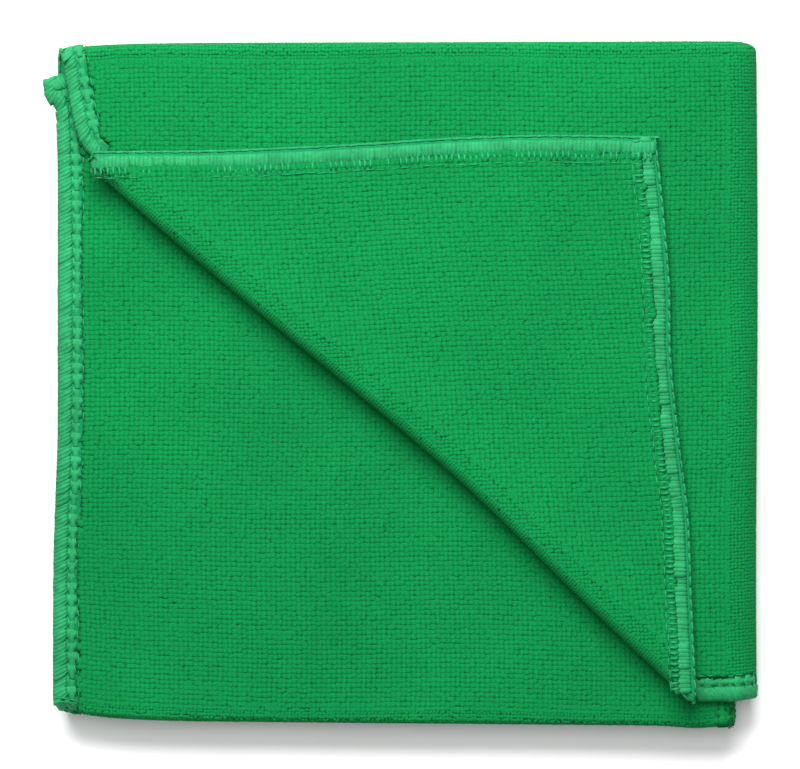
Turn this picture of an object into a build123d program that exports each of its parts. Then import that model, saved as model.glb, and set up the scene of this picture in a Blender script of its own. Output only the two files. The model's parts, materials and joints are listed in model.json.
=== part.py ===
"""A microfibre cleaning cloth, folded into a pad of six layers with one corner turned back.

The cloth is folded in three along Y: the tucked third goes up over the middle third, and the
cover third comes down over both. The right half of that strip is then folded under the left
half. Last, the lower left corner of the cover third is turned back towards the upper right.

Units are millimetres, +Z is up, and the origin is the middle of the pad on its underside.
"""

import os

from build123d import *

# The cloth, as it lies
cloth_t = 1.9  # one layer, pile to pile
layer_gap = 0.3
layer_pitch = cloth_t + layer_gap
right_edge = 89.5
top_edge = 85.0
bottom_edge = -85.0

# The overlocked hems: a sleeve of thread round the cut edge of the cloth
hem_w = 6.5
hem_bead = 0.9  # thread outside the cut edge
hem_wrap = 0.25  # thread above and below the cloth
tongue_t = cloth_t - 2 * hem_wrap
knob = (2.9, 8.6)  # where two hems meet at the tucked corner

# Left edges of the six layers, and the ends of the thirds
cover_left_top = (-85.0, 81.85)
tucked_left = -86.6
middle_left = -86.0
middle_left_lower = -85.4
tucked_left_lower = -86.2
cover_left_lower = -86.6
tucked_end = 78.2
tucked_end_lower = 79.0
cover_end = -79.7
cover_end_lower = -78.4

# The turned corner: its crease runs from the side hem to the end hem
crease_start = (-76.8, 56.8)
crease_end = (76.8, cover_end)
corner_tip = (63.6, 61.7)
crease_clearance = 0.15  # each flat piece stops this far from the crease or the half fold

# The half fold, where the pad opens like a book
half_fold_x = 81.5

# Names for the layers, from the bottom
COVER_LOWER, TUCKED_LOWER, MIDDLE_LOWER, MIDDLE_UPPER, TUCKED_UPPER, COVER_UPPER, CORNER = range(7)

reach = 25  # how far a cutting band runs past the edge it follows
leaf_right = half_fold_x - crease_clearance


def low(layer):
    """Height of a layer's underside."""
    return layer * layer_pitch


def mid(layer):
    """Height of the middle of a layer."""
    return low(layer) + cloth_t / 2


def fold_radius(layer_a, layer_b):
    """Radius of the middle of the cloth where it turns from one layer to another."""
    return (mid(layer_b) - mid(layer_a)) / 2


def save(piece, name):
    piece.part.label = name
    export_step(piece.part, f"parts/{name}.step")


def band(edge, width):
    """A band along one edge of an outline that runs anticlockwise, width deep inside it."""
    start, end = Vector(*edge[0]), Vector(*edge[1])
    along = (end - start).normalized()
    inward = Vector(-along.Y, along.X)
    start, end = start - along * reach, end + along * reach
    corners = (start - inward * reach, end - inward * reach, end + inward * width, start + inward * width)
    return [(corner.X, corner.Y) for corner in corners]


def make_leaf(name, layer, outline, hemmed_edges):
    """A flat run of cloth. Inside its hems it is thinner, by the thread that wraps it."""
    with BuildPart() as leaf:
        with BuildSketch(Plane.XY.offset(low(layer))):
            Polygon(*outline, align=None)
            for edge in hemmed_edges.values():
                Polygon(*band(edge, hem_w), align=None, mode=Mode.SUBTRACT)
        extrude(amount=cloth_t)
        with BuildSketch(Plane.XY.offset(low(layer) + hem_wrap)):
            Polygon(*outline, align=None)
            for edge in hemmed_edges.values():
                Polygon(*band(edge, hem_bead), align=None, mode=Mode.SUBTRACT)
        extrude(amount=tongue_t)
    save(leaf, name)

    done = []
    for hem_name, edge in hemmed_edges.items():
        with BuildPart() as hem:
            with BuildSketch(Plane.XY.offset(low(layer))):
                Polygon(*outline, align=None)
                Polygon(*band(edge, hem_w), align=None, mode=Mode.INTERSECT)
                for earlier in done:
                    Polygon(*band(earlier, hem_w), align=None, mode=Mode.SUBTRACT)
            extrude(amount=cloth_t)
            with BuildSketch(Plane.XY.offset(low(layer) + hem_wrap)):
                Polygon(*outline, align=None)
                for other in hemmed_edges.values():
                    Polygon(*band(other, hem_bead), align=None, mode=Mode.SUBTRACT)
            extrude(amount=tongue_t, mode=Mode.SUBTRACT)
        save(hem, hem_name)
        done.append(edge)


def make_fold(name, plane, radius, length, straight=0):
    """Cloth turned half round. It bulges along the plane's X, and runs along its normal."""
    outer, inner = radius + cloth_t / 2, radius - cloth_t / 2
    with BuildPart() as fold:
        with BuildSketch(plane):
            Circle(outer)
            Circle(inner, mode=Mode.SUBTRACT)
            with Locations((-outer / 2, 0)):
                Rectangle(outer, 2 * outer, mode=Mode.SUBTRACT)
            if straight:
                with Locations((-straight / 2, radius), (-straight / 2, -radius)):
                    Rectangle(straight, cloth_t)
        extrude(amount=length)
    save(fold, name)


def rectangle(left, y_low, y_high):
    """Outline of a leaf, anticlockwise from its lower left corner."""
    return [(left, y_low), (leaf_right, y_low), (leaf_right, y_high), (left, y_high)]


def side(outline):
    """The left edge of a rectangular outline."""
    return outline[3], outline[0]


os.makedirs("parts", exist_ok=True)

cover_fold_r = fold_radius(MIDDLE_UPPER, COVER_UPPER)
tucked_fold_r = fold_radius(MIDDLE_UPPER, TUCKED_UPPER)
cover_fold_y = top_edge - cover_fold_r - cloth_t / 2
tucked_fold_y = bottom_edge + tucked_fold_r + cloth_t / 2

crease_dir = (Vector(*crease_end) - Vector(*crease_start)).normalized()
crease_inward = Vector(-crease_dir.Y, crease_dir.X)
crease_z = (mid(COVER_UPPER) + mid(CORNER)) / 2
cut = crease_inward * crease_clearance
cut_start = (crease_start[0] + cut.X, crease_start[1] + cut.Y)
cut_end = (crease_end[0] + cut.X, crease_end[1] + cut.Y)

# Cover third, upper half: the top face of the pad, cut off along the crease
cover_outline = [
    cut_start,
    cut_end,
    (leaf_right, cover_end),
    (leaf_right, cover_fold_y),
    cover_left_top,
]
make_leaf(
    "cover_leaf_upper",
    COVER_UPPER,
    cover_outline,
    {
        "cover_side_hem_upper": (cover_left_top, crease_start),
        "cover_end_hem_upper": (crease_end, (leaf_right, cover_end)),
    },
)

# The turned corner, reverse side up
make_leaf(
    "turned_corner",
    CORNER,
    [cut_start, cut_end, corner_tip],
    {"turned_side_hem": (corner_tip, crease_start), "turned_end_hem": (crease_end, corner_tip)},
)
crease_length = (Vector(*crease_end) - Vector(*crease_start)).length
crease_plane = Plane(
    origin=(crease_start[0], crease_start[1], crease_z),
    x_dir=-crease_inward,
    z_dir=crease_dir,
)
make_fold("corner_crease", crease_plane, fold_radius(COVER_UPPER, CORNER), crease_length)

# Tucked third, upper half, with the knob where its two hems meet
tucked_outline = rectangle(tucked_left, tucked_fold_y, tucked_end)
make_leaf(
    "tucked_leaf_upper",
    TUCKED_UPPER,
    tucked_outline,
    {
        "tucked_side_hem_upper": side(tucked_outline),
        "tucked_end_hem_upper": (tucked_outline[2], tucked_outline[3]),
    },
)
with BuildPart() as tucked_hem_corner:
    with BuildSketch(Plane.XY.offset(low(TUCKED_UPPER))):
        with Locations((tucked_left - knob[0] / 2, tucked_end - knob[1] / 2)):
            RectangleRounded(*knob, radius=knob[0] * 0.45)
    extrude(amount=cloth_t)
save(tucked_hem_corner, "tucked_hem_corner")

# Middle third, both halves
for name, layer, left in (
    ("upper", MIDDLE_UPPER, middle_left),
    ("lower", MIDDLE_LOWER, middle_left_lower),
):
    outline = rectangle(left, tucked_fold_y, cover_fold_y)
    make_leaf(f"middle_leaf_{name}", layer, outline, {f"middle_side_hem_{name}": side(outline)})

# Tucked and cover thirds, lower half
tucked_lower = rectangle(tucked_left_lower, tucked_fold_y, tucked_end_lower)
make_leaf(
    "tucked_leaf_lower",
    TUCKED_LOWER,
    tucked_lower,
    {
        "tucked_side_hem_lower": side(tucked_lower),
        "tucked_end_hem_lower": (tucked_lower[2], tucked_lower[3]),
    },
)
cover_lower = rectangle(cover_left_lower, cover_end_lower, cover_fold_y)
make_leaf(
    "cover_leaf_lower",
    COVER_LOWER,
    cover_lower,
    {
        "cover_side_hem_lower": side(cover_lower),
        "cover_end_hem_lower": (cover_lower[0], cover_lower[1]),
    },
)

# Folds between the thirds: the cloth, and the run of side hem that turns with it
for name, low_layer, high_layer, fold_y, radius, bulge in (
    ("cover_fold{}_upper", MIDDLE_UPPER, COVER_UPPER, cover_fold_y, cover_fold_r, 1),
    ("tucked_fold{}_upper", MIDDLE_UPPER, TUCKED_UPPER, tucked_fold_y, tucked_fold_r, -1),
    ("cover_fold{}_lower", COVER_LOWER, MIDDLE_LOWER, cover_fold_y, cover_fold_r, 1),
    ("tucked_fold{}_lower", TUCKED_LOWER, MIDDLE_LOWER, tucked_fold_y, tucked_fold_r, -1),
):
    fold_z = (mid(low_layer) + mid(high_layer)) / 2
    hem_start = middle_left if high_layer > MIDDLE_LOWER else middle_left_lower
    for part, x_start, x_end in (
        ("_hem", hem_start, hem_start + hem_w),
        ("", hem_start + hem_w, leaf_right),
    ):
        plane = Plane(origin=(x_start, fold_y, fold_z), x_dir=(0, bulge, 0), z_dir=(1, 0, 0))
        make_fold(name.format(part), plane, radius, x_end - x_start)

# The half fold: three turns of cloth, one inside another
outer_r = fold_radius(COVER_LOWER, COVER_UPPER)
outer_straight = right_edge - outer_r - cloth_t / 2 - half_fold_x
half_fold_z = (mid(COVER_LOWER) + mid(COVER_UPPER)) / 2
for name, radius, y_low, y_high, straight in (
    ("half_fold_cover", outer_r, cover_end, top_edge, outer_straight),
    (
        "half_fold_tucked",
        fold_radius(TUCKED_LOWER, TUCKED_UPPER),
        tucked_fold_y,
        tucked_end,
        0,
    ),
    (
        "half_fold_middle",
        fold_radius(MIDDLE_LOWER, MIDDLE_UPPER),
        tucked_fold_y,
        cover_fold_y,
        0,
    ),
):
    plane = Plane(
        origin=(half_fold_x + straight, y_high, half_fold_z), x_dir=(1, 0, 0), z_dir=(0, -1, 0)
    )
    make_fold(name, plane, radius, y_high - y_low, straight)

print("crease axis point", crease_start, round(crease_z, 3))
print("crease axis", tuple(round(value, 5) for value in crease_dir))
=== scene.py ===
"""A green microfibre cleaning cloth, folded into a pad with one corner turned back.

The cloth is one surface with two coordinates, in millimetres. c runs across it: from the left
hem of the upper half, round the half fold at 0, to the left hem of the lower half. s runs along
it: from the end of the cover third, over the middle third, to the end of the tucked third.
The pile's loops and the hems' stitches are set out on that surface.
"""

import json
import math

import bpy
import numpy as np
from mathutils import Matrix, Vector


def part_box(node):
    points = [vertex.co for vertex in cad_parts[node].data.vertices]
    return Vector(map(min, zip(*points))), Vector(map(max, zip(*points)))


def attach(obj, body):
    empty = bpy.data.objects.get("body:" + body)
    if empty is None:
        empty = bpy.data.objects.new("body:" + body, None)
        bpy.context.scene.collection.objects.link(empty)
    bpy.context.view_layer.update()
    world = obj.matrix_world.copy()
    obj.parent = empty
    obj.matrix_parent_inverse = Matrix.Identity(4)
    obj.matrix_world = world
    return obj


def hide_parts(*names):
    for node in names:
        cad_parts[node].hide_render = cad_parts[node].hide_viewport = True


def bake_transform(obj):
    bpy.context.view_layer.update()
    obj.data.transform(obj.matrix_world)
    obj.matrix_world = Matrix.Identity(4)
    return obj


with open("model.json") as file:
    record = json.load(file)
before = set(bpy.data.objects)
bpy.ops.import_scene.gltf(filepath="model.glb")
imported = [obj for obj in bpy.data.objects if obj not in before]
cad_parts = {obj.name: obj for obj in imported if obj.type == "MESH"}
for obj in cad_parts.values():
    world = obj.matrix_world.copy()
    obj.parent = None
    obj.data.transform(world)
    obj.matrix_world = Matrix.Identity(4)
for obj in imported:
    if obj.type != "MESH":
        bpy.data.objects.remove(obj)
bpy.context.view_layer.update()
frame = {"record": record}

MM = 0.001
SCENE = bpy.context.scene
RECORD = frame["record"]


def box_mm(node):
    """A CAD node's lowest and highest corners, in millimetres."""
    return [np.array(corner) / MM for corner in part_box(node)]


def hinge(name):
    """A hinge's point, in millimetres, and its axis."""
    found = next(j for j in RECORD["behaviour"]["joints"] if j["name"] == name)
    return np.array(found["pos_m"]) / MM, np.array(found["axis"])


# ---------------------------------------------------------------- sizes from the frame
LAYERS = ["cover_leaf_lower", "tucked_leaf_lower", "middle_leaf_lower"]
LAYERS += ["middle_leaf_upper", "tucked_leaf_upper", "cover_leaf_upper", "turned_corner"]
LAYER_Z = [sum(corner[2] for corner in box_mm(node)) / 2 for node in LAYERS]
PAD_MID = (LAYER_Z[0] + LAYER_Z[5]) / 2
H_MIDDLE, H_TUCKED, H_COVER = (LAYER_Z[i] - PAD_MID for i in (3, 4, 5))
COVER_R = (H_COVER - H_MIDDLE) / 2
TUCKED_R = (H_TUCKED - H_MIDDLE) / 2
X_FOLD = hinge("half_fold")[0][0]
FOLD_REACH = box_mm("half_fold_cover")[1][0] - X_FOLD - H_COVER - 0.95
Y_HIGH = box_mm("cover_fold_upper")[0][1]
Y_LOW = box_mm("tucked_fold_upper")[1][1]
EDGE_ROOM = 0.55  # the thread outside a cut edge
COVER_END = [box_mm(f"cover_end_hem_{half}")[0][1] + EDGE_ROOM for half in ("upper", "lower")]
TUCKED_END = [box_mm(f"tucked_end_hem_{half}")[1][1] - EDGE_ROOM for half in ("upper", "lower")]
LEFT_MIDDLE, LEFT_TUCKED = (box_mm(f"{n}_side_hem_upper")[0][0] for n in ("middle", "tucked"))
LEFT_COVER = box_mm("cover_side_hem_upper")[0][0]
CREASE, ALONG = hinge("corner_fold")
INTO = np.cross([0, 0, 1], ALONG)  # from the crease towards the turned corner
TIP = np.array([box_mm("turned_side_hem")[1][0], box_mm("turned_side_hem")[1][1]])

# ---------------------------------------------------------------- the cloth's own sizes
BASE = 0.6  # half the thickness of the knitted base
CROWN = 0.74  # from the middle of the cloth to where its loops stand up singly
HEM_W = 6.6  # cut edge to needle line
PILE_FROM = 6.3  # where the pile starts
STITCH = 2.9
WALE = 1.23  # between loops, across the cloth
COURSE = 1.20  # between loops, along the cloth
LOOP_W = 3.2  # a loop's spread at its foot, under its neighbours
LOOP_H = 0.1
ROLL_R = (LAYER_Z[6] - LAYER_Z[5]) / 2 + 1.25  # the crease, half its height
ROLL_OUT = 1.9  # and how far it stands out
CREASE_LENGTH = 203.0

RUNS = [
    Y_HIGH - COVER_END[0],
    math.pi * COVER_R,
    Y_HIGH - Y_LOW,
    math.pi * TUCKED_R,
    TUCKED_END[0] - Y_LOW,
]
S = np.concatenate([[0], np.cumsum(RUNS)])  # where each run begins, and the last ends


def smooth(t):
    t = np.clip(t, 0, 1)
    return t * t * (3 - 2 * t)


def profile(s, lower):
    """The Y and half height of the folded pad at s. lower is 0 in its upper half, 1 below."""
    u = [np.clip((s - a) / (b - a), 0, 1) for a, b in zip(S[:-1], S[1:])]
    cover_end = COVER_END[0] + (COVER_END[1] - COVER_END[0]) * lower
    tucked_end = TUCKED_END[0] + (TUCKED_END[1] - TUCKED_END[0]) * lower
    places = [s < S[1], s < S[2], s < S[3], s < S[4]]
    y = np.select(
        places,
        [
            cover_end + (Y_HIGH - cover_end) * u[0],
            Y_HIGH + COVER_R * np.sin(math.pi * u[1]),
            Y_HIGH + (Y_LOW - Y_HIGH) * u[2],
            Y_LOW - TUCKED_R * np.sin(math.pi * u[3]),
        ],
        Y_LOW + (tucked_end - Y_LOW) * u[4],
    )
    half = np.select(
        places,
        [
            np.full_like(y, H_COVER),
            H_MIDDLE + COVER_R * (1 + np.cos(math.pi * u[1])),
            np.full_like(y, H_MIDDLE),
            H_MIDDLE + TUCKED_R * (1 - np.cos(math.pi * u[3])),
        ],
        H_TUCKED,
    )
    return y, half


def straight(half):
    """How far a layer runs on past the half fold's line before it turns."""
    return FOLD_REACH * smooth((half - H_TUCKED) / (H_COVER - H_TUCKED))


def round_fold(half):
    """The length of cloth in the half fold."""
    return 2 * straight(half) + math.pi * half


def pad(c, s):
    """Points of the cloth's middle surface, folded but not yet settled, and their half height."""
    c, s = (a.astype(float) for a in np.broadcast_arrays(c, s))
    lower = np.clip(c / round_fold(H_COVER), 0, 1)
    y, half = profile(s, lower)
    lead = straight(half)
    turn = np.clip((c - lead) / half, 0, math.pi)
    after = np.maximum(c - lead - math.pi * half, 0)
    x = X_FOLD + np.minimum(c, lead) + half * np.sin(turn) - after
    z = PAD_MID + half * np.cos(turn)
    return np.stack([x, y, z], -1), half


def settle(points, half=None):
    """The unevenness of cloth folded by hand: a slack outline, and gentle waves through all layers."""
    x, y, z = np.moveaxis(points, -1, 0)
    half = np.full_like(x, H_COVER) if half is None else half
    near_left = np.exp(-(x + 86.5) / 9)
    under_cover = smooth((H_COVER - half) / 1.2)
    low_end = smooth((-y - 20) / 62) * under_cover
    high_end = smooth((y - 40) / 42)
    dy = low_end * (-0.5 - 0.009 * x + 3.5 * near_left - 0.5 * np.exp(-(((x - 74) / 6) ** 2)))
    dy += high_end * (0.6 + 0.003 * x - 1.9 * near_left)
    dx = smooth((x - 60) / 25) * (0.35 + 0.2 * np.sin((y + 10) / 24))
    inner = smooth((H_COVER - 0.8 - half) / 1.0)
    dx -= 1.8 * inner * smooth((-y - 66) / 12) * smooth((x - 72) / 12)
    waves = 0.15 * np.sin(x / 21 + 0.6) * np.sin(y / 27 + 1.1)
    waves += 0.10 * np.sin((x + y) / 13 + 2.0) + 0.07 * np.sin((x - 1.7 * y) / 10.5)
    waves += 0.04 * np.sin(x / 4.3 + 1.5 * np.sin(y / 9)) * np.sin(y / 5.1)
    waves -= 1.0 * smooth((x - 68) / 21)
    dz = waves * np.clip(z / LAYER_Z[5], 0, 1.1)
    return np.stack([x + dx, y + dy, z + dz], -1)


def across(point, direction):
    return np.asarray(point)[..., 0] * direction[0] + np.asarray(point)[..., 1] * direction[1]


def bow(t):
    """How far the crease bows from its hinge line, at t along it."""
    middle = 2.9 * np.exp(-(((t - 120) / np.where(t < 120, 60, 42)) ** 2))
    return -0.1 + middle - 2.0 * smooth((t - 188) / 14)


def roll_out(t):
    """How far the rounded crease stands out, less at its two ends."""
    start = 1 - 0.6 * np.exp(-np.maximum(t, 0) / 5)
    return ROLL_OUT * start * (1 - 0.85 * smooth((t - 188) / 14))


def crease_x(y):
    """X of the crease at a given Y."""
    t = (y - CREASE[1]) / ALONG[1]
    return CREASE[0] + t * ALONG[0] + bow(t) / INTO[0]


def slant_x(y):
    """X of the cover's side hem, which slants in towards the crease."""
    return -84.4 + 0.17 * (80.7 - y) + 3.4 * np.exp(-(np.maximum(y - CREASE[1], 0)) / 2.8)


def left_upper(s):
    """c of the cloth's left side in the upper half: its hem, and the crease across the cover."""
    y, _ = profile(s, 0)
    slant = slant_x(y)
    cover = np.where(y > CREASE[1], slant, np.maximum(slant, crease_x(y)))
    cover = np.minimum(cover, X_FOLD - 0.3)
    knob = 3.3 * np.exp(-(((y - 75.4) / 3.3) ** 2))
    tucked = -87 + 1.35 * np.exp(-(((y - 21) / 53) ** 4)) - knob
    middle = np.full_like(y, LEFT_MIDDLE)
    x = cover + (middle - cover) * smooth((s - S[1]) / RUNS[1])
    x = x + (tucked - x) * smooth((s - S[3]) / RUNS[3])
    return x + EDGE_ROOM - X_FOLD


def left_lower(s):
    """c of the cloth's left side in the lower half."""
    _, half = profile(s, 1)
    return round_fold(half) + X_FOLD + 85.7 - EDGE_ROOM + 0.5 * np.sin(s / 37)


def surface(c, s):
    points, half = pad(c, s)
    return settle(points, half)


def normals(place, u, v):
    """Unit normals of a surface, by small steps along its two coordinates."""
    step = 0.05
    du = place(u + step, v) - place(u - step, v)
    dv = place(u, v + step) - place(u, v - step)
    found = np.cross(du, dv)
    return found / np.maximum(np.linalg.norm(found, axis=-1, keepdims=True), 1e-9)


# ---------------------------------------------------------------- the turned corner
def through(points, count):
    """Points evenly along a smooth curve through a few given ones."""
    points = np.array(points, float)
    padded = np.vstack([2 * points[0] - points[1], points, 2 * points[-1] - points[-2]])
    fine = []
    for a, b, c, d in zip(padded[:-3], padded[1:-2], padded[2:-1], padded[3:]):
        for t in np.linspace(0, 1, 24, endpoint=False):
            fine.append(
                0.5 * (2 * b + (c - a) * t + (2 * a - 5 * b + 4 * c - d) * t * t
                       + (3 * b - a - 3 * c + d) * t**3)
            )
    fine = np.array(fine + [points[-1]])
    length = np.concatenate([[0], np.cumsum(np.linalg.norm(np.diff(fine, axis=0), axis=1))])
    where = np.linspace(0, length[-1], count)
    return np.stack([np.interp(where, length, fine[:, k]) for k in range(fine.shape[1])], -1)


TIP = TIP - [0.6, 0.9]
SIDE_EDGE = through(
    [CREASE[:2] + [0.2, 0.6], (-62.5, 57.4), (-42.5, 57.7), (-12.5, 59.0), (12, 60.5), (37, 61.2), TIP], 120
)
END_EDGE = through(
    [TIP, (65.2, 46), (66.9, 25), (67.3, 6), (69.3, -14), (71.6, -33), (72.4, -52), (73, -70), (73.4, -79.2)], 120
)
CORNER_EDGE = np.vstack([SIDE_EDGE, END_EDGE[1:]])
EDGE_T = across(CORNER_EDGE - CREASE[:2], ALONG)
EDGE_N = across(CORNER_EDGE - CREASE[:2], INTO)
TIP_T = across(TIP - CREASE[:2], ALONG)


def from_edge(points):
    """Distance of points from the corner's two hemmed edges."""
    flat = points[..., None, :2] - CORNER_EDGE
    return np.sqrt((flat**2).sum(-1)).min(-1)


def corner(t, n):
    """The turned corner's middle surface: t along the crease, n away from it."""
    t, n = np.broadcast_arrays(t, n)
    past = n - bow(t)
    z = LAYER_Z[6] + (ROLL_R - (LAYER_Z[6] - LAYER_Z[5]) / 2) * 2 * np.exp(-((past / 9) ** 2))
    flat = CREASE + t[..., None] * ALONG + n[..., None] * INTO
    flat = flat + 0.0
    flat[..., 2] = z
    return settle(flat)


def roll(t, turn):
    """The crease: cloth turned half round, from the cover at turn 0 to the corner at pi."""
    t, turn = np.broadcast_arrays(t, turn)
    n = bow(t) - roll_out(t) * np.sin(turn)
    flat = CREASE + t[..., None] * ALONG + n[..., None] * INTO
    flat = flat + 0.0
    flat[..., 2] = LAYER_Z[5] + ROLL_R * (1 - np.cos(turn))
    return settle(flat)


# ---------------------------------------------------------------- materials
def srgb(code):
    """A linear colour from its sRGB hex code."""
    values = [int(code[i : i + 2], 16) / 255 for i in (0, 2, 4)]
    return [v / 12.92 if v <= 0.04045 else ((v + 0.055) / 1.055) ** 2.4 for v in values] + [1]


def add(tree, kind, inputs=None, **settings):
    """Adds a node to a tree, with its settings, and its inputs as values or links."""
    made = tree.nodes.new(kind)
    for key, value in settings.items():
        setattr(made, key, value)
    for key, value in (inputs or {}).items():
        if isinstance(value, bpy.types.NodeSocket):
            tree.links.new(value, made.inputs[key])
        else:
            made.inputs[key].default_value = value
    return made


def new_material(name):
    made = bpy.data.materials.new(name)
    made.use_nodes = True
    made.node_tree.nodes.clear()
    return made, made.node_tree


def terry_material():
    """Warp-knitted polyester and polyamide microfibre terry, piece-dyed green.

    The eye gets a matt, even green. Each loop's colour runs from painted shade at its foot, between
    the loops, to a painted highlight at its tip, and the dye takes slightly unevenly from place to place.
    """
    made, tree = new_material("microfibre_terry_green")
    place = add(tree, "ShaderNodeTexCoord").outputs["Object"]
    tip = add(tree, "ShaderNodeAttribute", attribute_name="tip").outputs["Fac"]
    loops = add(tree, "ShaderNodeTexNoise", {"Vector": place, "Scale": 620, "Detail": 2})
    dye = add(tree, "ShaderNodeTexNoise", {"Vector": place, "Scale": 38, "Detail": 3})
    lift = add(tree, "ShaderNodeMath", {0: loops.outputs["Fac"], 1: -0.5}, operation="ADD")
    mixed = add(
        tree, "ShaderNodeMath", {0: lift.outputs[0], 1: 0.7, 2: tip}, operation="MULTIPLY_ADD"
    )
    # painted light: the ramp runs from painted shade at each loop's foot to a painted highlight at its tip, scattered
    # a little by the loops noise
    ramp = add(tree, "ShaderNodeValToRGB", {"Fac": mixed.outputs[0]})
    ramp.color_ramp.elements[0].color = srgb(SHADED_LOOP_GREEN)
    ramp.color_ramp.elements[1].color = srgb(LIT_LOOP_GREEN)
    tone = add(
        tree,
        "ShaderNodeMapRange",
        {"Value": dye.outputs["Fac"], "From Min": 0.3, "From Max": 0.7, "To Min": 0.93, "To Max": 1.07},
    )
    thread = add(tree, "ShaderNodeAttribute", attribute_name="under_thread").outputs["Fac"]
    hemmed = add(tree, "ShaderNodeMix", {"Factor": thread}, data_type="RGBA")
    tree.links.new(ramp.outputs["Color"], hemmed.inputs[6])
    hemmed.inputs[7].default_value = srgb(UNDER_THREAD)
    colour = add(
        tree,
        "ShaderNodeHueSaturation",
        {"Color": hemmed.outputs[2], "Value": tone.outputs["Result"]},
    )
    fibre = add(tree, "ShaderNodeTexNoise", {"Vector": place, "Scale": 5200, "Detail": 2})
    bump = add(tree, "ShaderNodeBump", {"Height": fibre.outputs["Fac"], "Strength": 0.35, "Distance": 0.00006})
    shader = add(
        tree,
        "ShaderNodeBsdfPrincipled",
        {
            "Base Color": colour.outputs["Color"],
            "Roughness": 0.95,
            "Specular IOR Level": 0.07,
            "Sheen Weight": 0.09,
            "Sheen Roughness": 0.5,
            "Sheen Tint": srgb("60e090"),
            "Normal": bump.outputs["Normal"],
        },
    )
    add(tree, "ShaderNodeOutputMaterial", {"Surface": shader.outputs[0]})
    return made


def thread_material():
    """Textured polyester overlock thread, a paler mint than the cloth, bulky and faintly shiny.

    Its filaments lie loosely side by side, so a thread has soft streaks along it.
    """
    made, tree = new_material("textured_polyester_thread")
    place = add(tree, "ShaderNodeTexCoord").outputs["Object"]
    streak = add(tree, "ShaderNodeTexNoise", {"Vector": place, "Scale": 900, "Detail": 3})
    patch = add(tree, "ShaderNodeTexNoise", {"Vector": place, "Scale": 150, "Detail": 2})
    both = add(tree, "ShaderNodeMath", {0: streak.outputs["Fac"], 1: patch.outputs["Fac"]}, operation="ADD")
    share = add(
        tree,
        "ShaderNodeMapRange",
        {"Value": both.outputs[0], "From Min": 0.7, "From Max": 1.3},
    )
    ramp = add(tree, "ShaderNodeValToRGB", {"Fac": share.outputs["Result"]})
    ramp.color_ramp.elements[0].color = srgb(THREAD_DARK)
    ramp.color_ramp.elements[1].color = srgb(THREAD_PALE)
    filament = add(tree, "ShaderNodeTexNoise", {"Vector": place, "Scale": 3500, "Detail": 2})
    bump = add(tree, "ShaderNodeBump", {"Height": filament.outputs["Fac"], "Strength": 0.4, "Distance": 0.00008})
    shader = add(
        tree,
        "ShaderNodeBsdfPrincipled",
        {
            "Base Color": ramp.outputs["Color"],
            "Roughness": 0.7,
            "Specular IOR Level": 0.2,
            "Normal": bump.outputs["Normal"],
        },
    )
    add(tree, "ShaderNodeOutputMaterial", {"Surface": shader.outputs[0]})
    return made


# painted shade at the loops' feet and painted highlight at their tips, on either side of the cloth's own green
SHADED_LOOP_GREEN = "056832"
LIT_LOOP_GREEN = "087b40"
UNDER_THREAD = "127546"
THREAD_DARK = "0f7140"
THREAD_PALE = "1a8a53"
TERRY = terry_material()
THREAD = thread_material()


# ---------------------------------------------------------------- meshes
def new_object(name, mesh):
    made = bpy.data.objects.new(name, mesh)
    SCENE.collection.objects.link(made)
    return made


def plain_mesh(name, points, faces, **attributes):
    """A smooth-shaded mesh from points in millimetres, with float or vector attributes on them."""
    mesh = bpy.data.meshes.new(name)
    mesh.from_pydata((np.asarray(points, float) * MM).tolist(), [], faces)
    for key, values in attributes.items():
        values = np.asarray(values, np.float32)
        kind = "FLOAT_VECTOR" if values.ndim == 2 else "FLOAT"
        layer = mesh.attributes.new(key, kind, "POINT")
        layer.data.foreach_set("vector" if values.ndim == 2 else "value", values.ravel())
    mesh.shade_smooth()
    return mesh


def layer_of_cloth(name, middle, normal, q, turned):
    """A closed thin sheet on either side of a grid of middle points, q from the nearest cut edge."""
    half_t = hem_thickness(q)
    rows, columns = middle.shape[:2]
    above, below = middle + normal * half_t[..., None], middle - normal * half_t[..., None]
    points = np.concatenate([above.reshape(-1, 3), below.reshape(-1, 3)])
    n = rows * columns
    i, j = np.meshgrid(np.arange(rows - 1), np.arange(columns - 1), indexing="ij")
    a = (i * columns + j).ravel()
    quads = np.stack([a, a + 1, a + 1 + columns, a + columns], 1)
    rim = [k for k in range(columns)]
    rim += [r * columns + columns - 1 for r in range(1, rows)]
    rim += [(rows - 1) * columns + k for k in range(columns - 2, -1, -1)]
    rim += [r * columns for r in range(rows - 2, 0, -1)]
    faces = quads.tolist() + (quads[:, ::-1] + n).tolist()
    for a, b in zip(rim, rim[1:] + rim[:1]):
        faces.append([b, a, a + n, b + n])
    shares = np.concatenate([turned.ravel(), turned.ravel()])
    covered = np.tile(1 - smooth((q.ravel() - 4.5) / 2), 2)
    return new_object(name, plain_mesh(name, points, faces, turned=shares, under_thread=covered))


def hem_thickness(q):
    """Half thickness of the cloth at q from its cut edge: pressed flat by the needle thread."""
    return np.interp(q, [0, 0.5, 1.8, 3.1, 4.4, HEM_W, HEM_W + 1], [0.2, 0.45, 0.5, 0.4, 0.42, 0.44, BASE])


def pad_rows():
    """s of a sheet's rows: close together in the folds and the end hems."""
    hem = [0, 0.7, 1.6, 3, 4.4, 5.6, HEM_W]
    rows = [np.array(hem), np.linspace(HEM_W + 1.2, S[1], 62)]
    rows += [np.linspace(S[k], S[k + 1], count)[1:] for k, count in ((1, 11), (2, 66), (3, 9))]
    rows += [np.linspace(S[4], S[5] - HEM_W - 1.2, 62)[1:], S[5] - np.array(hem[::-1])]
    return np.concatenate(rows)


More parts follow.
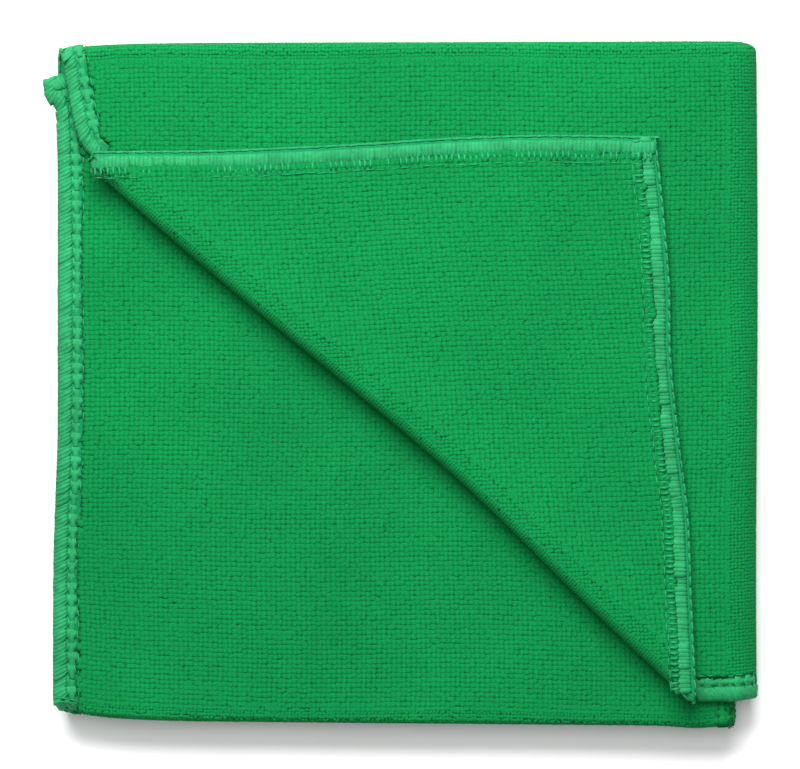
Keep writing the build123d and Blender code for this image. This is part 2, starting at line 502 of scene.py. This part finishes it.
def hem_upper(s):
    """c of the side hem's line in the upper half, whether or not the crease has cut it off."""
    y, _ = profile(s, 0)
    return slant_x(y) + EDGE_ROOM - X_FOLD


def from_hems_upper(c, s):
    side = np.where(s < S[1], c - hem_upper(s), c - left_upper(s))
    return np.minimum(side, np.minimum(s, S[5] - s))


def from_hems_lower(c, s):
    return np.minimum(left_lower(s) - c, np.minimum(s, S[5] - s))


def sheet_grid(name, low, high, q_of, share_of, columns):
    """A sheet of the pad between two edges, each a function of s."""
    s = pad_rows()[:, None] + 0 * columns[None, :]
    start, end = low(s[:, 0])[:, None], high(s[:, 0])[:, None]
    c = start + (end - start) * columns[None, :]
    middle = surface(c, s)
    normal = normals(surface, c, s)
    return layer_of_cloth(name, middle, normal, q_of(c, s), share_of(c, s))


def fold_share(c, s):
    """How far a point of the half fold turns with the upper half."""
    _, half = profile(s, 0.5)
    return smooth(1 - c / round_fold(half))


def zero(c, s):
    return np.zeros(np.broadcast(c, s).shape)


def fold_end(s):
    _, half = profile(s, 0.5)
    return round_fold(half)


# ---------------------------------------------------------------- what repeats
def scatter_tree():
    """Geometry Nodes: one shape on each point, turned to its own axes, with a little variation."""
    tree = bpy.data.node_groups.new("set_out_on_cloth", "GeometryNodeTree")
    faces = {
        "Points": "NodeSocketGeometry",
        "Shape": "NodeSocketObject",
        "Lean": "NodeSocketFloat",
        "Spin": "NodeSocketFloat",
        "Smallest": "NodeSocketFloat",
        "Largest": "NodeSocketFloat",
        "Seed": "NodeSocketInt",
        "Material": "NodeSocketMaterial",
    }
    for name, kind in faces.items():
        tree.interface.new_socket(name, in_out="INPUT", socket_type=kind)
    tree.interface.new_socket("Mesh", in_out="OUTPUT", socket_type="NodeSocketGeometry")
    given = add(tree, "NodeGroupInput").outputs
    up = add(tree, "GeometryNodeInputNamedAttribute", {"Name": "up"}, data_type="FLOAT_VECTOR")
    along = add(tree, "GeometryNodeInputNamedAttribute", {"Name": "along"}, data_type="FLOAT_VECTOR")
    facing = add(
        tree,
        "FunctionNodeAxesToRotation",
        {"Primary Axis": up.outputs[0], "Secondary Axis": along.outputs[0]},
        primary_axis="Z",
        secondary_axis="X",
    )
    most = add(tree, "ShaderNodeCombineXYZ", {0: given["Lean"], 1: given["Lean"], 2: given["Spin"]})
    least = add(tree, "ShaderNodeVectorMath", {0: most.outputs[0], "Scale": -1.0}, operation="SCALE")
    turn = add(
        tree,
        "FunctionNodeRandomValue",
        {"Min": least.outputs[0], "Max": most.outputs[0], "Seed": given["Seed"]},
        data_type="FLOAT_VECTOR",
    )
    turned = add(
        tree,
        "FunctionNodeRotateRotation",
        {
            "Rotation": facing.outputs[0],
            "Rotate By": add(tree, "FunctionNodeEulerToRotation", {0: turn.outputs[0]}).outputs[0],
        },
        rotation_space="LOCAL",
    )
    size = add(tree, "FunctionNodeRandomValue", data_type="FLOAT")
    for key, value in (("Min_001", "Smallest"), ("Max_001", "Largest"), ("Seed", "Seed")):
        socket = next(i for i in size.inputs if i.identifier == key)
        tree.links.new(given[value], socket)
    shape = add(tree, "GeometryNodeObjectInfo", {"Object": given["Shape"]})
    placed = add(
        tree,
        "GeometryNodeInstanceOnPoints",
        {
            "Points": add(tree, "GeometryNodeMeshToPoints", {"Mesh": given["Points"]}).outputs[0],
            "Instance": shape.outputs["Geometry"],
            "Rotation": turned.outputs[0],
            "Scale": size.outputs[1],
        },
    )
    real = add(tree, "GeometryNodeRealizeInstances", {"Geometry": placed.outputs[0]})
    finished = add(
        tree,
        "GeometryNodeSetMaterial",
        {"Geometry": real.outputs[0], "Material": given["Material"]},
    )
    add(tree, "NodeGroupOutput", {0: finished.outputs[0]})
    return tree


SCATTER = scatter_tree()


def set_out(name, shape, sites, material, lean=0.0, spin=0.0, smallest=1.0, largest=1.0, seed=1):
    """A plain mesh of one shape repeated at every site."""
    points, ups, alongs, turned = sites
    holder = new_object(name + "_sites", plain_mesh(name + "_sites", points, [], up=ups, along=alongs, turned=turned))
    modifier = holder.modifiers.new("set_out", "NODES")
    modifier.node_group = SCATTER
    values = {
        "Shape": shape,
        "Lean": lean,
        "Spin": spin,
        "Smallest": smallest,
        "Largest": largest,
        "Seed": seed,
        "Material": material,
    }
    for item in SCATTER.interface.items_tree:
        if item.name in values:
            modifier[item.identifier] = values[item.name]
    bpy.context.view_layer.update()
    evaluated = holder.evaluated_get(bpy.context.evaluated_depsgraph_get())
    mesh = bpy.data.meshes.new_from_object(evaluated)
    mesh.name = name
    bpy.data.objects.remove(holder)
    for left_over in ("up", "along"):
        if left_over in mesh.attributes:
            mesh.attributes.remove(mesh.attributes[left_over])
    return new_object(name, mesh)


def tuft(foot):
    """One twisted loop of the pile, seen as a small soft bump. foot is the height of its rim."""
    points, tips, faces = [], [], [[4, 3, 2, 1, 0]]
    # the tip attribute carries painted light: painted shade at the rim (0), painted highlight at the top (1)
    for radius, height, tip in ((0.5 * LOOP_W, foot, 0.0), (0.14 * LOOP_W, 0.55 * LOOP_H, 0.25)):
        for k in range(5):
            angle = 2 * math.pi * k / 5
            squeeze = 0.82 if k in (1, 4) else 1
            points.append([radius * math.cos(angle), radius * squeeze * math.sin(angle), height])
            tips.append(tip)
    points.append([0.05, 0, LOOP_H])
    tips.append(1.0)
    for k in range(5):
        after = (k + 1) % 5
        faces.append([k, after, 5 + after, 5 + k])
        faces.append([5 + k, 5 + after, 10])
    mesh = plain_mesh("tuft", points, faces, tip=tips)
    mesh.polygons[0].use_smooth = False
    return new_object("tuft", mesh)


def strand(path, sizes, sides, square=1.0, breadth=None):
    """Points and faces of a closed strand along a path: sizes are half widths and half heights.

    square below 1 gives its section flat sides, so that repeats side by side leave only a crease.
    breadth is the way its width runs where that isn't square to the path.
    """
    path, sizes = np.array(path, float), np.array(sizes, float)
    tangent = np.gradient(path, axis=0)
    tangent /= np.linalg.norm(tangent, axis=1, keepdims=True)
    width = np.cross(tangent, [0, 0, 1]) if breadth is None else tangent * 0 + breadth
    width /= np.linalg.norm(width, axis=1, keepdims=True)
    height = np.cross(width, tangent)
    height /= np.linalg.norm(height, axis=1, keepdims=True)
    points, faces = [], []
    for i in range(len(path)):
        for k in range(sides):
            angle = 2 * math.pi * (k + 0.5) / sides
            a, b = (math.copysign(abs(v) ** square, v) for v in (math.cos(angle), math.sin(angle)))
            points.append(path[i] + sizes[i][0] * a * width[i] + sizes[i][1] * b * height[i])
    for i in range(len(path) - 1):
        for k in range(sides):
            a, b = i * sides + k, i * sides + (k + 1) % sides
            faces.append([a, a + sides, b + sides, b])
    last = (len(path) - 1) * sides
    faces.append(list(range(sides)))
    faces.append([last + k for k in range(sides - 1, -1, -1)])
    return points, faces


def stitch(name, *strands):
    """One repeat of a thread: x along the hem, y inwards from the cut edge, z up on the obverse."""
    points, faces = [], []
    for each in strands:
        more, joined = strand(*each)
        faces += [[k + len(points) for k in face] for face in joined]
        points += more
    return new_object(name, plain_mesh(name, points, faces))


def looper_shapes():
    """The three threads of the overlock seam, one stitch of each."""
    half = STITCH / 2
    hem_way = (1, 0, 0)
    wraps = []
    for k, lift in ((-1, 0.0), (0, 0.03), (1, 0.0)):
        x = k * STITCH / 3
        wraps.append((
            [(x + 1.0, 0.2, -0.46), (x + 0.95, -0.3, 0.02), (x + 0.75, 0.25, 0.52), (x + 0.15, 1.5, 0.66 + lift),
             (x - 0.3 - 0.1 * k, 2.4, 0.58 + lift), (x - 0.7 - 0.36 * k, 3.1, 0.36)],
            [(0.9, 0.2), (0.9, 0.2), (0.94, 0.22), (0.96, 0.24), (0.85, 0.22), (0.55, 0.12)],
            6,
            1.0,
            hem_way,
        ))
    tongue = (
        [(-0.7, 2.8, 0.3), (-0.65, 3.4, 0.44), (-0.6, 4.6, 0.46), (-0.6, 5.8, 0.36)],
        [(1.1, 0.12), (1.4, 0.12), (1.45, 0.12), (1.15, 0.1)],
        6,
        1.0,
        hem_way,
    )
    crossing = (
        [(-half - 0.6, 4.25, 0.2), (-half, 4.25, 0.42), (0, 4.2, 0.44), (half, 4.25, 0.42), (half + 0.6, 4.25, 0.2)],
        [(0.7, 0.1), (0.85, 0.17), (0.85, 0.17), (0.85, 0.17), (0.7, 0.1)],
        6,
    )
    upper = stitch("upper_looper_stitch", *wraps, tongue, crossing)
    edge = ([(-half, 0.15, -0.4), (0, -0.12, -0.44), (half, 0.15, -0.4)], [(0.24, 0.22)] * 3, 6)
    bars = []
    for k in range(3):
        x = (k - 1) * STITCH / 3
        bars.append((
            [(x + 0.1, 0.9, -0.48), (x, 1.6, -0.62), (x - 0.05, 2.8, -0.64), (x - 0.1, 3.7, -0.56), (x - 0.1, 4.2, -0.44)],
            [(0.6, 0.08), (0.95, 0.16), (1.0, 0.17), (0.9, 0.15), (0.5, 0.08)],
            6,
            1.0,
            hem_way,
        ))
    curls = [
        ([(x, 3.7, -0.6), (x + 0.12, 4.9, -0.78), (x, 6.0, -0.7)], [(0.24, 0.1), (0.4, 0.14), (0.2, 0.08)], 5, 1.0, hem_way)
        for x in (-0.95, 0.45)
    ]
    lower = stitch("lower_looper_stitch", edge, *bars, *curls)
    above = ([(-1.35, 5.95, 0.42), (0, 5.9, 0.6), (1.35, 5.95, 0.42)], [(0.12, 0.1), (0.2, 0.16), (0.12, 0.1)], 5)
    below = ([(-1.35, 6.5, -0.74), (0, 6.45, -0.84), (1.35, 6.5, -0.74)], [(0.1, 0.1), (0.18, 0.14), (0.1, 0.1)], 5)
    return upper, lower, stitch("needle_stitch", above, below)


# ---------------------------------------------------------------- sites
def knit(first, last, pitch, offset=0.0):
    return np.arange(first + pitch * (0.5 + offset), last, pitch)


def lattice(u_range, v_range, pitch_u, pitch_v, rng, looseness=0.09):
    """Sites of the pile: a knitted grid whose loops don't sit quite in line."""
    u, v = np.meshgrid(knit(*u_range, pitch_u), knit(*v_range, pitch_v))
    u, v = u.ravel(), v.ravel()
    wander = 0.3 * np.sin(v / 11 + 1.3) + 0.25 * np.sin(u / 17 + v / 29)
    u = u + wander + rng.normal(0, looseness, u.shape)
    v = v + 0.3 * np.sin(u / 13 + 0.4) + rng.normal(0, looseness, v.shape)
    return u, v


def pile_sites(place, u, v, side, turned=None):
    """Sites on one side of a surface. side is 1 for its normal's side, -1 for the other."""
    up = normals(place, u, v) * side
    step = 0.05
    along = place(u + step, v) - place(u - step, v)
    along /= np.linalg.norm(along, axis=1, keepdims=True)
    share = np.zeros(len(u)) if turned is None else turned
    return place(u, v) + up * CROWN, up, along, share


def hem_sites(place, u, v, into_u, into_v, side, turned=None):
    """Sites of stitches on a cut edge. into is the way in from the edge, in the surface's coordinates."""
    step = 0.05
    up = normals(place, u, v) * side
    inward = place(u + into_u * step, v + into_v * step) - place(u, v)
    along = np.cross(inward, up)
    if len(u) > 2:
        points = place(u, v)
        line = np.gradient(points, axis=0)
        along = line * np.sign((line * along).sum(1, keepdims=True))
    along /= np.linalg.norm(along, axis=1, keepdims=True)
    share = np.zeros(len(u)) if turned is None else turned
    return place(u, v), up, along, share


def chain(points, pitch):
    """Indices' fractions for sites a pitch apart along a line of points."""
    length = np.concatenate([[0], np.cumsum(np.linalg.norm(np.diff(points, axis=0), axis=1))])
    count = max(int(round(length[-1] / pitch)), 1)
    wanted = (np.arange(count) + 0.5) * length[-1] / count
    return np.interp(wanted, length, np.arange(len(points)))


def every_stitch(place, u, v, side):
    """u and v of the stitches along an edge that runs through u and v, a pitch apart on its obverse."""
    where = chain(place(u, v) + 0.7 * side * normals(place, u, v), STITCH)
    k = np.arange(len(u))
    return np.interp(where, k, u), np.interp(where, k, v)


def join(*groups):
    return tuple(np.concatenate(parts) for parts in zip(*groups))


# ---------------------------------------------------------------- sheets
def toward_hem(count, first):
    """Fractions of a width that is closer set in its hem: the hem is at 0."""
    hem = np.array([0, 0.8, 1.8, 3.1, 4.4, 5.6, HEM_W, HEM_W + 1.2]) / first
    return np.concatenate([hem, np.linspace(hem[-1], 1, count)[1:]])


HALF_WIDTH = 168.0
left_to_fold = toward_hem(56, HALF_WIDTH)
UPPER = sheet_grid(
    "cloth_upper_half", left_upper, lambda s: 0 * s, from_hems_upper, zero, left_to_fold
)
LOWER = sheet_grid(
    "cloth_lower_half", fold_end, left_lower, from_hems_lower, zero, 1 - left_to_fold[::-1]
)
FOLD = sheet_grid(
    "cloth_half_fold",
    lambda s: 0 * s,
    fold_end,
    lambda c, s: np.minimum(s, S[5] - s) + 0 * c,
    fold_share,
    np.linspace(0, 1, 17),
)


def edge_n(t):
    """How far the corner reaches from the crease's hinge line, at t along it."""
    return np.maximum(np.interp(t, EDGE_T, EDGE_N), bow(t) + 0.02)


def corner_sheet():
    t = np.linspace(0.6, CREASE_LENGTH - 0.6, 150)
    share = np.concatenate([np.linspace(0, 0.86, 40), np.linspace(0.86, 1, 18)[1:]])
    n = bow(t)[None, :] + (edge_n(t) - bow(t))[None, :] * share[:, None]
    t = t[None, :] + 0 * n
    q = from_edge(CREASE + t[..., None] * ALONG + n[..., None] * INTO)
    return layer_of_cloth("cloth_corner", corner(t, n), normals(corner, t, n), q, zero(t, n))


def roll_q(t):
    return np.minimum(0.65 * t, 0.665 * (CREASE_LENGTH - t))


def crease_sheet():
    t, turn = np.meshgrid(np.linspace(0, CREASE_LENGTH, 150), np.linspace(0, math.pi, 13))
    normal = normals(roll, t, turn)
    return layer_of_cloth("cloth_crease", roll(t, turn), normal, roll_q(t), smooth(turn / math.pi))


CORNER = corner_sheet()
ROLL = crease_sheet()
for made in (UPPER, LOWER, FOLD, CORNER, ROLL):
    made.data.materials.append(TERRY)

# ---------------------------------------------------------------- pile
rng = np.random.default_rng(7)
TUFT = tuft(-0.13)
BENT_TUFT = tuft(-0.33)
SPIN = math.pi
COARSE = 1.8
TIGHT = 0.85  # round the folds, where a wide loop would stand off
MARGIN = 2.5  # and on either side of them
PILE = {}


def pile(name, sites, scale=1.0):
    PILE[name] = set_out(
        name,
        BENT_TUFT if scale < 1 else TUFT,
        sites,
        TERRY,
        lean=0.015,
        spin=SPIN,
        smallest=0.9 * scale,
        largest=1.1 * scale,
        seed=len(PILE) + 1,
    )
    return PILE[name]


WIDTH = (-180.0, 200.0)
FINE_KNIT = lattice(WIDTH, (0, S[5]), WALE, COURSE, rng)
COARSE_KNIT = lattice(WIDTH, (0, S[5]), COARSE, COARSE, rng)
TIGHT_KNIT = lattice(WIDTH, (0, S[5]), TIGHT, TIGHT, rng, 0.08)


def on_pad(knitted, run, keep, share=None):
    """Pile on the pad's obverse: the sites of a knit in one run of s, where keep says.

    The flat runs stop short of the folds, and the folds' own knit reaches over to meet them.
    """
    c, s = knitted
    room = MARGIN if run in (1, 3) else 1.2 - MARGIN
    before, after = (room if 0 < S[k] < S[5] else 0 for k in (run, run + 1))
    kept = (s >= S[run] - before) & (s < S[run + 1] + after)
    c, s = c[kept], s[kept]
    kept = keep(c, s)
    c, s = c[kept], s[kept]
    return pile_sites(surface, c, s, 1, None if share is None else share(c, s))


def upper_keep(c, s):
    return (c < 0.5) & (c > left_upper(s) + 0.3) & (from_hems_upper(c, s) > PILE_FROM)


def lower_keep(c, s):
    return (c > fold_end(s) - 0.5) & (from_hems_lower(c, s) > PILE_FROM)


def fold_keep(c, s):
    return (c > -0.5) & (c < fold_end(s) + 0.5) & (np.minimum(s, S[5] - s) > PILE_FROM)


def exposed(c, s):
    """The part of the tucked third that the cover leaves open, and a little under its edge."""
    y, _ = profile(s, 0)
    cover = np.where(y > CREASE[1], slant_x(y), crease_x(y))
    return upper_keep(c, s) & (c + X_FOLD < cover + 12)


SPLIT = -78.0
pile("pile_cover_left", on_pad(FINE_KNIT, 0, lambda c, s: upper_keep(c, s) & (c < SPLIT)))
pile("pile_cover_right", on_pad(FINE_KNIT, 0, lambda c, s: upper_keep(c, s) & (c >= SPLIT)))
pile("pile_tucked", on_pad(FINE_KNIT, 4, exposed))
pile("pile_middle_upper", on_pad(COARSE_KNIT, 2, upper_keep), COARSE / WALE)
pile("pile_cover_lower", on_pad(COARSE_KNIT, 0, lower_keep), COARSE / WALE)
pile("pile_middle_lower", on_pad(COARSE_KNIT, 2, lower_keep), COARSE / WALE)
for half, keep in (("upper", upper_keep), ("lower", lower_keep)):
    pile(f"pile_folds_{half}", join(*(on_pad(TIGHT_KNIT, run, keep) for run in (1, 3))), TIGHT / WALE)
pile(
    "pile_half_fold",
    join(*(on_pad(TIGHT_KNIT, run, fold_keep, fold_share) for run in (0, 1))),
    TIGHT / WALE,
)
pile("pile_inner_folds", join(*(on_pad(COARSE_KNIT, run, fold_keep, fold_share) for run in (2, 3, 4))), COARSE / WALE)


def corner_pile(side, pitch, first, last):
    """Pile on one side of the turned corner, between two distances from its crease.

    Its grid follows the corner's own two hems.
    """
    u, v = lattice((-90, 90), (-90, 90), pitch, pitch, rng)
    x, y = u - 0.09 * v, v + 0.03 * u
    flat = np.stack([x, y], -1) - CREASE[:2]
    t, n = across(flat, ALONG), across(flat, INTO)
    kept = (t > 1) & (t < CREASE_LENGTH - 1) & (n < edge_n(t))
    kept &= (n > bow(t) + first) & (n < bow(t) + last)
    t, n = t[kept], n[kept]
    starts = PILE_FROM if side < 0 else PILE_FROM - 2.3
    kept = from_edge(CREASE + t[:, None] * ALONG + n[:, None] * INTO) > starts
    return pile_sites(corner, t[kept], n[kept], side)


EDGE_KNIT = 0.95  # on the flap beside its crease
ROLL_KNIT = 0.75
pile("pile_corner_reverse", corner_pile(1, WALE, 3.2, 200))
pile("pile_corner_obverse", corner_pile(-1, WALE, -0.2, 200))
pile("pile_corner_edge", corner_pile(1, EDGE_KNIT, -0.2, 4.4), EDGE_KNIT / WALE)


def roll_pile(side, pitch, rows):
    t, row = lattice((0, CREASE_LENGTH), (0, rows), pitch, 1, rng, 0.05)
    turn = row * math.pi / rows
    kept = (roll_q(t) > HEM_W - 2) & (turn > 0.05) & (turn < math.pi - 0.05)
    t, turn = t[kept], turn[kept]
    return pile_sites(roll, t, turn, side, smooth(turn / math.pi))


pile("pile_crease", join(roll_pile(1, ROLL_KNIT, 12), roll_pile(-1, 2 * ROLL_KNIT, 5)), ROLL_KNIT / WALE)

# ---------------------------------------------------------------- hems
SHAPES = looper_shapes()
HEMS = {}


def pad_hem(c, s, into_c, into_s, share=None):
    c, s = every_stitch(surface, c, s, 1)
    turned = None if share is None else share(c, s)
    return hem_sites(surface, c, s, into_c, into_s, 1, turned)


def side_run(first, last, edge, into):
    s = np.linspace(first, last, 400)
    return pad_hem(edge(s), s, into, 0)


def end_run(first, last, s, into, share=None):
    c = np.linspace(first, last, 200)
    return pad_hem(c, np.full_like(c, s), 0, into, share)


def crease_s():
    """s on the cover where the crease starts, and c where it ends."""
    return COVER_START, COVER_STOP


COVER_START = CREASE[1] - COVER_END[0]
COVER_STOP = left_upper(np.array([0.0]))[0]
fold_length = round_fold(H_COVER)
tucked_length = round_fold(H_TUCKED)
lower_left = left_lower(np.array([0.0, S[5]]))
upper_left = left_upper(np.array([S[5]]))[0]

RUNS_OF_HEM = {
    "upper_half": join(
        side_run(COVER_START, S[5], left_upper, 1),
        end_run(COVER_STOP, 0, 0.0, 1),
        end_run(upper_left, 0, S[5], -1),
    ),
    "lower_half": join(
        side_run(0, S[5], left_lower, -1),
        end_run(fold_length, lower_left[0], 0.0, 1),
        end_run(tucked_length, lower_left[1], S[5], -1),
    ),
    "half_fold": join(
        end_run(0, fold_length, 0.0, 1, fold_share),
        end_run(0, tucked_length, S[5], -1, fold_share),
    ),
}


def corner_hem(edge, inward_of):
    """Stitches along one edge of the turned corner."""
    flat = edge - CREASE[:2]
    t, n = every_stitch(corner, across(flat, ALONG), across(flat, INTO), -1)
    into = inward_of
    return hem_sites(corner, t, n, across(into, ALONG), across(into, INTO), -1)


def roll_hem(t, into):
    turn = np.array([0.3, 0.7]) * math.pi
    t = np.full_like(turn, t)
    return hem_sites(roll, t, turn, into, 0, -1, smooth(turn / math.pi))


RUNS_OF_HEM["corner"] = join(
    corner_hem(SIDE_EDGE, np.array([0.03, -1.0])),
    corner_hem(END_EDGE[:-2], np.array([-1.0, -0.09])),
)
RUNS_OF_HEM["crease"] = join(roll_hem(0.4, 1), roll_hem(CREASE_LENGTH - 0.4, -1))

THREADS = ("upper_looper", "lower_looper", "needle_thread")
for body, sites in RUNS_OF_HEM.items():
    for k, thread in enumerate(THREADS):
        name = f"{thread}_{body}"
        HEMS[name] = set_out(
            name, SHAPES[k], sites, THREAD, lean=0.03, spin=0.04, smallest=0.97, largest=1.03, seed=40 + k
        )

for helper in (TUFT, BENT_TUFT, *SHAPES):
    bpy.data.objects.remove(helper)

# ---------------------------------------------------------------- bodies
BLENDS = {
    "half_fold": ("lower_half", "upper_half", "half_fold"),
    "crease": ("upper_half", "corner", "corner_fold"),
}


def bend(piece, kind):
    """Bakes a piece's transform into its mesh and reads how far round the fold each of its points lies."""
    first, second, joint = BLENDS[kind]
    point, axis = hinge(joint)
    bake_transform(piece)
    shares = np.empty(len(piece.data.vertices), np.float32)
    piece.data.attributes["turned"].data.foreach_get("value", shares)


def drop_share(piece):
    piece.data.attributes.remove(piece.data.attributes["turned"])


MEMBERS = {
    "upper_half": [UPPER, PILE["pile_cover_left"], PILE["pile_cover_right"], PILE["pile_tucked"],
                   PILE["pile_middle_upper"], PILE["pile_folds_upper"]],
    "lower_half": [LOWER, PILE["pile_cover_lower"], PILE["pile_middle_lower"], PILE["pile_folds_lower"]],
    "half_fold": [FOLD, PILE["pile_half_fold"], PILE["pile_inner_folds"]],
    "corner": [CORNER, PILE["pile_corner_reverse"], PILE["pile_corner_obverse"], PILE["pile_corner_edge"]],
    "crease": [ROLL, PILE["pile_crease"]],
}
for body, members in MEMBERS.items():
    threads = [HEMS[f"{thread}_{body}"] for thread in THREADS]
    for piece in members + threads:
        if body in BLENDS:
            bend(piece, body)
        else:
            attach(piece, body)
        drop_share(piece)

CAD_BODIES = RECORD["behaviour"]["bodies"]
DEFORMING = {"half_fold": ["half_fold_cover", "half_fold_tucked", "half_fold_middle"], "crease": ["corner_crease"]}
for body in MEMBERS:
    nodes = DEFORMING.get(body)
    if nodes is None:
        nodes = [n for n in CAD_BODIES[body] if n not in sum(DEFORMING.values(), [])]
    cloth_nodes = [n for n in nodes if "hem" not in n]
    hem_nodes = [n for n in nodes if "hem" in n]
    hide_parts(*cloth_nodes)
    if hem_nodes:
        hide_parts(*hem_nodes)


def flat_area(rows, low, high):
    """Area in square metres between two edges, each a function of s."""
    widths = high(rows) - low(rows)
    return float(((widths[1:] + widths[:-1]) / 2 * np.diff(rows)).sum()) * MM**2


rows = pad_rows()
length = S[5] * MM
edge = np.linspace(0, CREASE_LENGTH, 400)
corner_area = float(np.mean(edge_n(edge) - bow(edge))) * CREASE_LENGTH * MM**2
roll_length = math.pi * (ROLL_OUT + ROLL_R) / 2
FLAT = {
    "upper_half": ((0.1725, length), flat_area(rows, left_upper, lambda s: 0 * s), "lower_half"),
    "lower_half": ((0.1685, length), flat_area(rows, fold_end, left_lower), None),
    "half_fold": ((fold_length * MM, length), flat_area(rows, lambda s: 0 * s, fold_end), "lower_half"),
    "corner": ((CREASE_LENGTH * MM, 0.1), corner_area, "upper_half"),
    "crease": ((CREASE_LENGTH * MM, 0.01), CREASE_LENGTH * roll_length * MM**2, "upper_half"),
}

# ---------------------------------------------------------------- floor, light and camera
FLOOR_SIDE = 3.0
bpy.ops.mesh.primitive_plane_add(size=FLOOR_SIDE, location=(0, 0, 0))
FLOOR = bpy.context.object
FLOOR.name = "floor"
floor_material, tree = new_material("matt_white_card")
plain = add(tree, "ShaderNodeBsdfPrincipled", {"Base Color": srgb("f6f6f6"), "Roughness": 0.9})
add(tree, "ShaderNodeOutputMaterial", {"Surface": plain.outputs[0]})
FLOOR.data.materials.append(floor_material)

for body, (flat, area, under) in FLAT.items():
    piece, *with_it = MEMBERS[body] + [HEMS[f"{thread}_{body}"] for thread in THREADS]


def soft_light(name, place, aim, size, power):
    light = bpy.data.lights.new(name, "AREA")
    light.shape = "RECTANGLE"
    light.size, light.size_y = size
    light.energy = power
    lamp = new_object(name, light)
    lamp.location = place
    lamp.rotation_euler = (Vector(aim) - Vector(place)).to_track_quat("-Z", "Y").to_euler()
    return lamp


soft_light("window", (-0.1, 0.55, 0.55), (0, 0, 0), (0.7, 0.45), 15.0)
soft_light("overhead", (0.0, 0.1, 1.1), (0, 0, 0), (0.7, 0.7), 4.5)
world = bpy.data.worlds.new("studio")
SCENE.world = world
world.use_nodes = True
world.node_tree.nodes["Background"].inputs["Color"].default_value = (1, 1, 1, 1)
world.node_tree.nodes["Background"].inputs["Strength"].default_value = 0.32
SCENE.view_settings.view_transform = "Standard"

VIEW_WIDTH = 0.200
CAMERA_HEIGHT = 1.2
camera_data = bpy.data.cameras.new("camera")
camera = new_object("camera", camera_data)
top = LAYER_Z[5] * MM
camera.location = (0, -0.000375, top + CAMERA_HEIGHT)
camera_data.sensor_width = 36
camera_data.lens = 36 * CAMERA_HEIGHT / VIEW_WIDTH
camera_data.clip_start = 0.01
camera_data.clip_end = 10
SCENE.camera = camera
